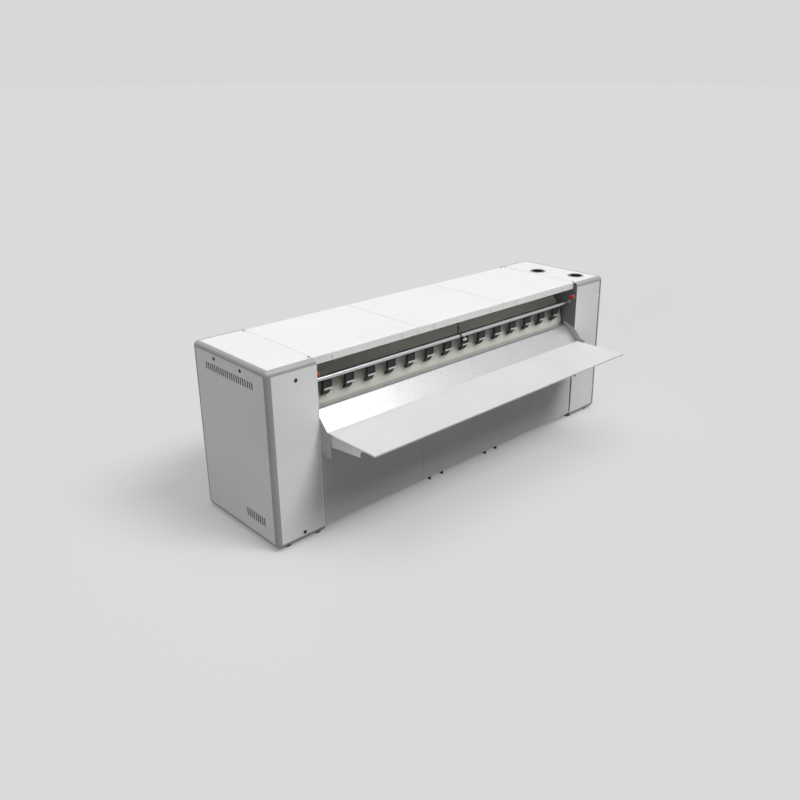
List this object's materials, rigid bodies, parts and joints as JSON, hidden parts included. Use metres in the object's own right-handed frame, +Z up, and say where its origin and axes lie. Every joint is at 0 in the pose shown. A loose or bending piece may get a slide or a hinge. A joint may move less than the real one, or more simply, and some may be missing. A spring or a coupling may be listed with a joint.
{
  "type": "flatwork ironer",
  "caption": "Bed-type flatwork ironer: a clothed roll turns in a heated trough between end cabinets, with a belted feed table, strippers, a delivery chute and a shelf.",
  "frame": {"origin": "on the floor under the middle of the whole bounding box", "axes": "+X along the roll from the drive cabinet on the left to the suction cabinet on the right, as seen from the delivery side; +Y from the delivery side to the feed side; +Z up"},
  "size_m": [3.535, 1.77, 1.267],
  "materials": {
    "cabinet_paint": "satin",
    "hood_paint": "satin",
    "moulding_grey": "satin",
    "lower_paint": "satin",
    "shelf_paint": "satin",
    "frame_paint": "semi-matt",
    "black_paint": "semi-matt",
    "stainless": "brushed",
    "tube_steel": "polished",
    "chute_steel": "satin",
    "bright_steel": "machined",
    "zinc_steel": "zinc plated",
    "bed_steel": "polished",
    "cast_paint": "painted",
    "clothing": "felt",
    "insulation_wool": "matt",
    "feed_belt": "woven",
    "aluminium": "satin",
    "black_plastic": "matt",
    "white_plastic": "matt",
    "grey_plastic": "matt",
    "red_plastic": "gloss"
  },
  "bodies": {
    "machine": {"base_frame": "frame_paint", "levelling_feet": "zinc_steel", "left_side_frame": "frame_paint", "right_side_frame": "frame_paint", "tie_rails": "frame_paint", "edge_mouldings": "moulding_grey", "end_panels": "cabinet_paint", "left_front_panel": "cabinet_paint", "cabinet_top_panels": "cabinet_paint", "cabinet_back_panels": "cabinet_paint", "panel_hardware": "black_plastic", "top_covers": "hood_paint", "lower_panels": "lower_paint", "centre_hanger": "black_paint", "roll_bearings": "cast_paint", "drive_chain": "bright_steel", "gearmotor": "cast_paint", "bed_lifts": "zinc_steel", "fan_cases": "zinc_steel", "exhaust_outlets": "zinc_steel", "suction_ducts": "zinc_steel", "electrical_box": "cabinet_paint", "control_stations": "grey_plastic", "feed_belts": "feed_belt", "feed_table": "stainless", "guard_tube": "tube_steel", "roll_sensor": "white_plastic", "chute": "chute_steel", "chute_cheeks": "moulding_grey", "delivery_shelf": "shelf_paint", "shelf_arms": "stainless"},
    "roll": {"roll_drum": "bright_steel", "roll_clothing": "clothing", "roll_end_shafts": "bright_steel", "roll_sprocket": "bright_steel"},
    "motor_sprocket": {"motor_sprocket": "bright_steel"},
    "bed": {"bed_plate": "bed_steel", "bed_heaters": "bright_steel", "bed_insulation": "insulation_wool", "bed_casing": "zinc_steel", "bed_saddles": "frame_paint"},
    "vapour_fan": {"vapour_fan_impeller": "aluminium"},
    "hood_fan": {"hood_fan_impeller": "aluminium"},
    "feed_drive": {"feed_drive_roller": "zinc_steel"},
    "feed_idler": {"feed_idler_roller": "zinc_steel"},
    "strippers": {"stripper_bar": "black_paint", "stripper_blocks": "black_plastic", "stripper_clips": "stainless", "stripper_shoes": "black_plastic"},
    "finger_guard": {"finger_guard": "stainless"},
    "right_door": {"right_door": "cabinet_paint", "door_lock_barrel": "black_plastic"},
    "door_lock": {"door_lock": "zinc_steel"},
    "e_stop_left": {"e_stop_left": "red_plastic"},
    "e_stop_right": {"e_stop_right": "red_plastic"},
    "e_stop_feed": {"e_stop_feed": "red_plastic"},
    "end_lock_front": {"end_lock_front": "zinc_steel"},
    "end_lock_back": {"end_lock_back": "zinc_steel"},
    "front_lock_upper": {"front_lock_upper": "zinc_steel"},
    "front_lock_lower": {"front_lock_lower": "zinc_steel"}
  },
  "joints": [
    {"name": "roll_spin", "type": "hinge", "parent": "machine", "child": "roll", "pos_m": [0, 0.0825, 0.89], "axis": [1, 0, 0], "continuous": true},
    {"name": "motor_sprocket_spin", "type": "hinge", "parent": "machine", "child": "motor_sprocket", "pos_m": [-1.5275, -0.115, 0.41], "axis": [1, 0, 0], "continuous": true},
    {"name": "bed_lift", "type": "slide", "parent": "machine", "child": "bed", "axis": [0, 0, 1], "range_m": [0, 0.012]},
    {"name": "vapour_fan_spin", "type": "hinge", "parent": "machine", "child": "vapour_fan", "pos_m": [1.5005, 0.212, 1.09], "axis": [1, 0, 0], "continuous": true},
    {"name": "hood_fan_spin", "type": "hinge", "parent": "machine", "child": "hood_fan", "pos_m": [1.6055, -0.132, 1.09], "axis": [1, 0, 0], "continuous": true},
    {"name": "feed_drive_spin", "type": "hinge", "parent": "machine", "child": "feed_drive", "pos_m": [0, 0.835, 0.925], "axis": [1, 0, 0], "continuous": true},
    {"name": "feed_idler_spin", "type": "hinge", "parent": "machine", "child": "feed_idler", "pos_m": [0, 0.42301, 0.925], "axis": [1, 0, 0], "continuous": true},
    {"name": "stripper_lift", "type": "hinge", "parent": "machine", "child": "strippers", "pos_m": [0, -0.24, 1.07], "axis": [-1, 0, 0], "range_deg": [0, 8]},
    {"name": "finger_guard_swing", "type": "hinge", "parent": "machine", "child": "finger_guard", "pos_m": [0, 0.477, 1.18], "axis": [-1, 0, 0], "range_deg": [0, 20]},
    {"name": "right_door_swing", "type": "hinge", "parent": "machine", "child": "right_door", "pos_m": [1.73, -0.3601, 0.6], "axis": [0, 0, 1], "range_deg": [0, 95]},
    {"name": "door_lock_turn", "type": "hinge", "parent": "right_door", "child": "door_lock", "pos_m": [1.4325, -0.363, 0.405], "axis": [0, -1, 0], "range_deg": [0, 90]},
    {"name": "e_stop_left_press", "type": "slide", "parent": "machine", "child": "e_stop_left", "axis": [-1, 0, 0], "range_m": [0, 0.005], "stiffness_N_per_m": 900},
    {"name": "e_stop_right_press", "type": "slide", "parent": "machine", "child": "e_stop_right", "axis": [1, 0, 0], "range_m": [0, 0.005], "stiffness_N_per_m": 900},
    {"name": "e_stop_feed_press", "type": "slide", "parent": "machine", "child": "e_stop_feed", "axis": [0, -1, 0], "range_m": [0, 0.005], "stiffness_N_per_m": 900},
    {"name": "end_lock_front_turn", "type": "hinge", "parent": "machine", "child": "end_lock_front", "pos_m": [-1.7675, -0.065, 1.1995], "axis": [-1, 0, 0], "range_deg": [0, 90]},
    {"name": "end_lock_back_turn", "type": "hinge", "parent": "machine", "child": "end_lock_back", "pos_m": [-1.7675, 0.254, 1.1995], "axis": [-1, 0, 0], "range_deg": [0, 90]},
    {"name": "front_lock_upper_turn", "type": "hinge", "parent": "machine", "child": "front_lock_upper", "pos_m": [-1.552, -0.365, 1.162], "axis": [0, -1, 0], "range_deg": [0, 90]},
    {"name": "front_lock_lower_turn", "type": "hinge", "parent": "machine", "child": "front_lock_lower", "pos_m": [-1.552, -0.365, 0.073], "axis": [0, -1, 0], "range_deg": [0, 90]}
  ],
  "couplings": [
    {"joint": "motor_sprocket_spin", "follows": "roll_spin", "ratio": 4},
    {"joint": "feed_idler_spin", "follows": "feed_drive_spin", "ratio": 1}
  ]
}
